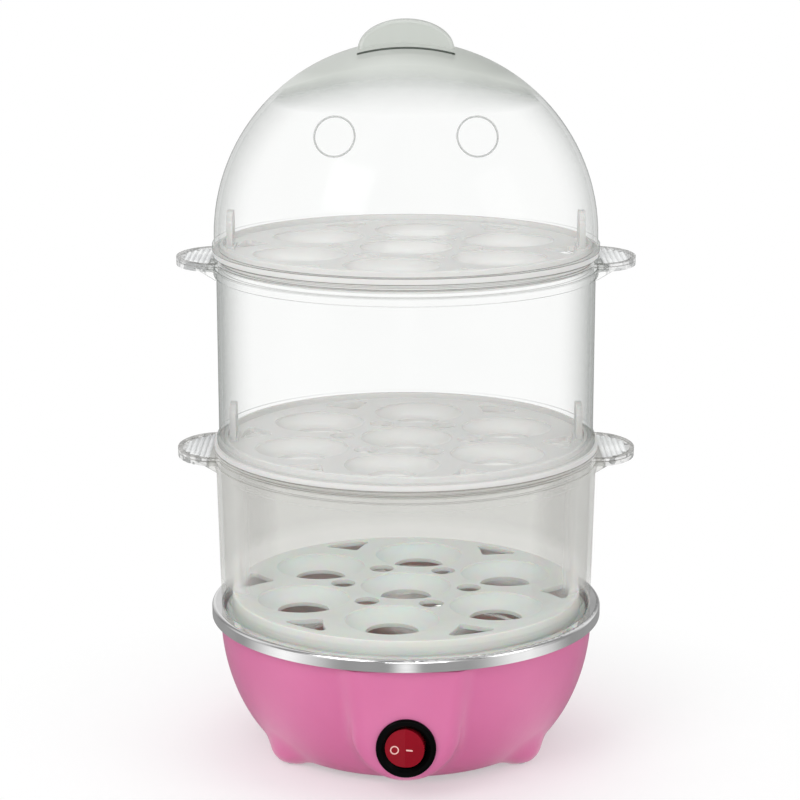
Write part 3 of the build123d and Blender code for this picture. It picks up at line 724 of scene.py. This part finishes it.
def curvePoints(corners, steps):
    # points on a Bezier curve and the unit normals on its outer side
    a, b, c, d = [np.array(corner) for corner in corners]
    t = np.linspace(0, 1, steps)[:, None]
    points = a * (1 - t) ** 3 + 3 * b * t * (1 - t) ** 2 + 3 * c * t * t * (1 - t) + d * t ** 3
    along = 3 * (b - a) * (1 - t) ** 2 + 6 * (c - b) * t * (1 - t) + 3 * (d - c) * t * t
    along /= np.hypot(along[:, 0], along[:, 1])[:, None]
    return points, np.stack((along[:, 1], -along[:, 0]), axis=1)


def columnStep(turn):
    turn = abs((turn + 180) % 360 - 180)
    foot = 90 - math.degrees(math.atan2(feet["at"][1], feet["at"][0]))
    if turn < columns["bossEnd"] or turn > columns["seatStart"]:
        return columns["fine"]
    nearest = min(abs(turn - foot), abs(turn - 180 + foot))
    return columns["foot"] if nearest < columns["footHalf"] else columns["plain"]


def columnTurns():
    turns = [0.0]
    while turns[-1] < 360:
        turns.append(turns[-1] + columnStep(turns[-1]))
    scale = 360 / turns[-1]
    return np.radians(np.array(turns[:-1]) * scale)


def pushedOut(points, normals, turns):
    # how far each point of the outer wall goes out along the bowl's normal to the blended surface
    reach = np.linspace(0, housing["reach"], housing["reachSteps"])
    radius = points[:, 0, None, None] + normals[:, 0, None, None] * reach
    z = points[:, 1, None, None] + normals[:, 1, None, None] * reach + np.zeros((1, len(turns), 1))
    x, y = radius * np.sin(turns)[:, None], -radius * np.cos(turns)[:, None]
    away = reach + np.zeros_like(x)
    away = smoothUnion(away, bossDistance(x, y, z), boss["blend"])
    away = smoothUnion(away, footDistance(x, y, z), feet["blend"])
    away = smoothUnion(away, seatDistance(x, y, z), seat["blend"])
    # the last step that is still inside, and how far the surface lies beyond it
    last = len(reach) - 1 - np.argmax((away <= 0)[:, :, ::-1], axis=2)
    last = np.minimum(last, len(reach) - 2)
    before = np.take_along_axis(away, last[:, :, None], 2)[:, :, 0]
    after = np.take_along_axis(away, last[:, :, None] + 1, 2)[:, :, 0]
    share = np.clip(before / (before - after), 0, 1)
    return (last + share) * (reach[1] - reach[0])


def housingLoops(turns):
    # closed loops up the outer wall, over the lip and down the inner wall to the opening
    outer, normals = curvePoints(housing["bowlCurve"], housing["rows"])
    shift = pushedOut(outer, normals, turns)
    loops = [(r + normals[k, 0] * shift[k], z + normals[k, 1] * shift[k]) for k, (r, z) in enumerate(outer)]
    inner = (outer - housing["wall"] * normals)[::-housing["innerStep"]]
    plain = [*housing["lip"], *inner, *housing["opening"]]
    return loops + [(np.full(len(turns), r), np.full(len(turns), z)) for r, z in plain]


def makeHousing(material):
    turns = columnTurns()
    loops = housingLoops(turns)
    points = [(r * math.sin(turn), -r * math.cos(turn), z)
              for radii, heights in loops for r, z, turn in zip(radii, heights, turns)]
    faces = []
    for row in range(len(loops)):
        faces += bandFaces(row * len(turns), (row + 1) % len(loops) * len(turns), len(turns))
    piece = addPiece("mouldedHousing", points, faces, material)
    hole = rod("switchHole", (0, 0), boss["hole"], *boss["holeSpan"], material)
    hole.data.transform(switchFrame())
    cutAway(piece, hole)
    hole = rod("glandHole", (0, 0), seat["hole"], *seat["holeSpan"], material)
    lying = Matrix.Rotation(math.pi / 2, 4, "X")
    hole.data.transform(Matrix.Translation((0, 0, seat["height"])) @ lying)
    cutAway(piece, hole)
    piece.data.shade_smooth()
    piece.data.set_sharp_from_angle(angle=math.radians(housing["sharpAngle"]))
    print("housing", len(piece.data.polygons), "faces")
    return piece


def makePads(material):
    pads = []
    for side, end in ((1, 1), (-1, 1), (-1, -1), (1, -1)):
        centre = (side * feet["at"][0], end * feet["at"][1])
        pads.append(rod("rubberPad", centre, pad["radius"], 0.0, pad["top"], material, pad["bevel"]))
    with bpy.context.temp_override(active_object=pads[0], selected_editable_objects=pads):
        bpy.ops.object.join()
    pads[0].name = "rubberPads"
    return pads[0]


shell = makeHousing(materials["pink_plastic"])
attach(shell, "base")
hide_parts("base_housing")
pads = makePads(materials["rubber_foot"])
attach(pads, "base")
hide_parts("foot_pads")
print("rubber pads under the feet")


# low studs on the grips: root is the middle of the grip's ellipse, floor the height they stand on
grips = {
    "lowerGripStuds": {"body": "tier_low", "root": 0.0760, "floor": 0.1232, "start": 0.0790},
    "upperGripStuds": {"body": "tier_up", "root": 0.0750, "floor": 0.2012, "start": 0.0780},
}
studs = {
    "pitch": 0.0021,
    "height": 0.00055,
    "reach": 0.0138,
    "halfWidth": 0.0200,
    "filled": 0.9,           # 1 would put studs right up to the ellipse's edge
    "width": 0.68,           # corner radius of a stud, as a share of the pitch
    "finish": {
        "name": "gripCrystal", "colour": (0.86, 0.87, 0.87), "shade": (0.5, 0.51, 0.52),
        "roughness": 0.12, "grain": 0.00001, "grainScale": 900,
    },
}


def addSocket(group, name, kind, way="INPUT"):
    return group.interface.new_socket(name=name, in_out=way, socket_type=kind).identifier


def studGroup():
    # rows of low pyramids over a half-ellipse, and the same again on the other side of the object
    group = bpy.data.node_groups.new("gripStuds", "GeometryNodeTree")
    names = ("Pitch", "Height", "Reach", "Half Width", "Filled", "Width", "Root", "Floor", "Start")
    sockets = {name: addSocket(group, name, "NodeSocketFloat") for name in names}
    sockets["Finish"] = addSocket(group, "Finish", "NodeSocketMaterial")
    addSocket(group, "Geometry", "NodeSocketGeometry", "OUTPUT")
    nodes, links = group.nodes, group.links
    given = nodes.new("NodeGroupInput").outputs
    output = nodes.new("NodeGroupOutput")

    grid = nodes.new("GeometryNodeMeshGrid")
    for side, span in (("X", "Reach"), ("Y", "Half Width")):
        full = calc(group, "MULTIPLY", given[span], 2.0)
        links.new(full, grid.inputs["Size " + side])
        steps = calc(group, "ROUND", calc(group, "DIVIDE", full, given["Pitch"]))
        links.new(calc(group, "ADD", steps, 1.0), grid.inputs["Vertices " + side])

    spot = nodes.new("ShaderNodeSeparateXYZ")
    links.new(nodes.new("GeometryNodeInputPosition").outputs[0], spot.inputs[0])
    along = calc(group, "DIVIDE", spot.outputs[0], given["Reach"])
    beside = calc(group, "DIVIDE", spot.outputs[1], given["Half Width"])
    squares = [calc(group, "MULTIPLY", part, part) for part in (along, beside)]
    inside = calc(group, "LESS_THAN", calc(group, "ADD", *squares), given["Filled"])
    past = calc(group, "GREATER_THAN", calc(group, "ADD", spot.outputs[0], given["Root"]), given["Start"])

    pyramid = nodes.new("GeometryNodeMeshCone")
    pyramid.fill_type = "NGON"
    setSockets(pyramid, Vertices=4, Radius_Top=0.0)
    links.new(calc(group, "MULTIPLY", given["Pitch"], given["Width"]), pyramid.inputs["Radius Bottom"])
    links.new(given["Height"], pyramid.inputs["Depth"])
    place = nodes.new("GeometryNodeInstanceOnPoints")
    links.new(grid.outputs["Mesh"], place.inputs["Points"])
    links.new(calc(group, "MULTIPLY", inside, past), place.inputs["Selection"])
    links.new(pyramid.outputs["Mesh"], place.inputs["Instance"])
    place.inputs["Rotation"].default_value = (0, 0, math.pi / 4)

    shift = nodes.new("ShaderNodeCombineXYZ")
    links.new(given["Root"], shift.inputs[0])
    links.new(given["Floor"], shift.inputs[2])
    moved = nodes.new("GeometryNodeTransform")
    links.new(place.outputs[0], moved.inputs["Geometry"])
    links.new(shift.outputs[0], moved.inputs["Translation"])
    turned = nodes.new("GeometryNodeTransform")
    turned.inputs["Rotation"].default_value = (0, 0, math.pi)
    links.new(moved.outputs[0], turned.inputs["Geometry"])
    join = nodes.new("GeometryNodeJoinGeometry")
    for side in (moved, turned):
        links.new(side.outputs[0], join.inputs[0])
    real = nodes.new("GeometryNodeRealizeInstances")
    links.new(join.outputs[0], real.inputs[0])
    finish = nodes.new("GeometryNodeSetMaterial")
    links.new(real.outputs[0], finish.inputs["Geometry"])
    links.new(given["Finish"], finish.inputs["Material"])
    links.new(finish.outputs[0], output.inputs[0])
    return group, sockets


def makeStuds():
    group, sockets = studGroup()
    crystal = mouldedPlastic(**studs["finish"])
    for name, grip in grips.items():
        carrier = bpy.data.objects.new(name, bpy.data.meshes.new(name))
        bpy.context.collection.objects.link(carrier)
        builder = carrier.modifiers.new("studs", "NODES")
        builder.node_group = group
        values = {
            "Pitch": studs["pitch"],
            "Height": studs["height"],
            "Reach": studs["reach"],
            "Half Width": studs["halfWidth"],
            "Filled": studs["filled"],
            "Width": studs["width"],
            "Root": grip["root"],
            "Floor": grip["floor"],
            "Start": grip["start"],
            "Finish": crystal,
        }
        for key, value in values.items():
            builder[sockets[key]] = value
        applyModifiers(carrier)
        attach(carrier, grip["body"])
        print(name, len(carrier.data.polygons), "faces")


makeStuds()


studio = {
    "floorHalf": 6.0,
    "floorTone": (0.95, 0.95, 0.95, 1),
    "floorRough": 0.9,
    "shadowNear": 0.08,      # the floor fades to plain white between these distances
    "shadowFar": 0.19,
    "shadowLift": 0.4,
    "cardDark": 0.34,        # light and dark cards that polished metal sees on the floor
    "cardLight": 1.05,
    "cardNarrow": 9.0,
    "cardAside": 62.0,
    "cardBroad": 34.0,
    "worldLight": 0.86,
    "stripCount": 6.0,
    "stripDark": 0.32,
    "stripLight": 1.05,
}
view = {
    "back": 0.915,
    "height": 0.351,
    "pitch": 12.95,
    "sensor": 36.0,
    "focalPixels": 2325.0,
    "framePixels": 800.0,
    "sightPixel": (406.0, 404.5),    # where the line of sight falls in the frame
}
lamps = {
    "keyLamp": {"place": (-0.9, -1.1, 1.1), "aim": (0, 0, 0.15), "size": (0.8, 0.8), "watts": 9},
    "fillLamp": {"place": (1.3, -0.7, 0.7), "aim": (0, 0, 0.15), "size": (0.7, 1.0), "watts": 3.5},
    "lowLamp": {"place": (0.15, -1.5, 0.35), "aim": (0, 0, 0.08), "size": (0.9, 0.3), "watts": 3.5},
    "topLamp": {"place": (0.0, 0.5, 1.5), "aim": (0, 0, 0.2), "size": (1.0, 1.0), "watts": 4.5},
}


def turnFromFront(tree, x, y):
    return calc(tree, "ARCTAN2", x, calc(tree, "MULTIPLY", y, -1.0))


def card(tree, turn, centre, width):
    # 1 in the middle of the card, falling smoothly to 0 at width degrees away from it
    off = calc(tree, "ABSOLUTE", calc(tree, "SUBTRACT", turn, math.radians(centre)))
    return remap(tree, off, math.radians(width), 0.0, kind="SMOOTHSTEP")


def floorFinish():
    # white floor that keeps the shadow near the object and fades to plain white further out;
    # polished metal mirrors it as light and dark cards laid round the object
    material, tree, shader, output = startMaterial("floorWhite")
    setSockets(shader, Roughness=studio["floorRough"], Base_Color=studio["floorTone"])
    place = readPlace(tree)
    glow, cards = [tree.nodes.new("ShaderNodeEmission") for k in range(2)]
    turn = calc(tree, "ABSOLUTE", turnFromFront(tree, place["x"], place["y"]))
    front = card(tree, turn, 0, studio["cardNarrow"])
    beside = card(tree, turn, studio["cardAside"], studio["cardBroad"])
    rear = card(tree, turn, 180, studio["cardBroad"])
    lit = calc(tree, "MAXIMUM", calc(tree, "MAXIMUM", front, beside), rear)
    tree.links.new(remap(tree, lit, 0, 1, studio["cardDark"], studio["cardLight"]), cards.inputs["Strength"])
    fade = remap(tree, place["across"], studio["shadowNear"], studio["shadowFar"], studio["shadowLift"], 1.0)
    path = tree.nodes.new("ShaderNodeLightPath")
    seen = calc(tree, "MAXIMUM", path.outputs["Is Camera Ray"], path.outputs["Is Transmission Ray"])
    shown = blendShaders(tree, calc(tree, "MULTIPLY", fade, seen), shader.outputs[0], glow.outputs[0])
    shown = blendShaders(tree, path.outputs["Is Glossy Ray"], shown, cards.outputs[0])
    tree.links.new(shown, output.inputs["Surface"])
    return material


def makeFloor():
    half = studio["floorHalf"]
    corners = [(-half, -half, 0), (half, -half, 0), (half, half, 0), (-half, half, 0)]
    floor = addPiece("floor", corners, [(0, 1, 2, 3)], floorFinish())


def makeWorld():
    # white to the eye, softly striped where gloss mirrors it
    world = bpy.data.worlds.new("studio")
    world.use_nodes = True
    bpy.context.scene.world = world
    tree = world.node_tree
    tree.nodes.clear()
    output = tree.nodes.new("ShaderNodeOutputWorld")
    light, mirrored, white = [tree.nodes.new("ShaderNodeBackground") for k in range(3)]
    light.inputs["Strength"].default_value = studio["worldLight"]
    white.inputs["Color"].default_value = (1, 1, 1, 1)
    path = tree.nodes.new("ShaderNodeLightPath")
    coords = tree.nodes.new("ShaderNodeTexCoord")
    split = tree.nodes.new("ShaderNodeSeparateXYZ")
    tree.links.new(coords.outputs["Generated"], split.inputs[0])
    turn = turnFromFront(tree, split.outputs[0], split.outputs[1])
    strips = calc(tree, "SINE", calc(tree, "MULTIPLY", turn, studio["stripCount"]))
    tone = remap(tree, strips, -1, 1, studio["stripDark"], studio["stripLight"])
    tree.links.new(tone, mirrored.inputs["Strength"])
    unseen = blendShaders(tree, path.outputs["Is Glossy Ray"], light.outputs[0], mirrored.outputs[0])
    shown = blendShaders(tree, path.outputs["Is Camera Ray"], unseen, white.outputs[0])
    tree.links.new(shown, output.inputs["Surface"])


def makeLamp(name, lamp):
    data = bpy.data.lights.new(name, "AREA")
    data.shape = "RECTANGLE"
    data.size, data.size_y = lamp["size"]
    data.energy = lamp["watts"]
    piece = bpy.data.objects.new(name, data)
    bpy.context.collection.objects.link(piece)
    piece.location = lamp["place"]
    piece.visible_camera = False
    piece.rotation_mode = "QUATERNION"
    piece.rotation_quaternion = (Vector(lamp["aim"]) - Vector(lamp["place"])).to_track_quat("-Z", "Y")


def makeCamera():
    data = bpy.data.cameras.new("camera")
    data.sensor_width = view["sensor"]
    data.lens = view["focalPixels"] / view["framePixels"] * view["sensor"]
    half, (sightX, sightY) = view["framePixels"] / 2, view["sightPixel"]
    data.shift_x = (half - sightX) / view["framePixels"]
    data.shift_y = (sightY - half) / view["framePixels"]
    camera = bpy.data.objects.new("camera", data)
    bpy.context.collection.objects.link(camera)
    camera.location = (0, -view["back"], view["height"])
    camera.rotation_euler = (math.radians(90 - view["pitch"]), 0, 0)
    bpy.context.scene.camera = camera


makeFloor()
makeWorld()
for name, lamp in lamps.items():
    makeLamp(name, lamp)
makeCamera()
bpy.context.scene.view_settings.view_transform = "Standard"
print("studio ready")
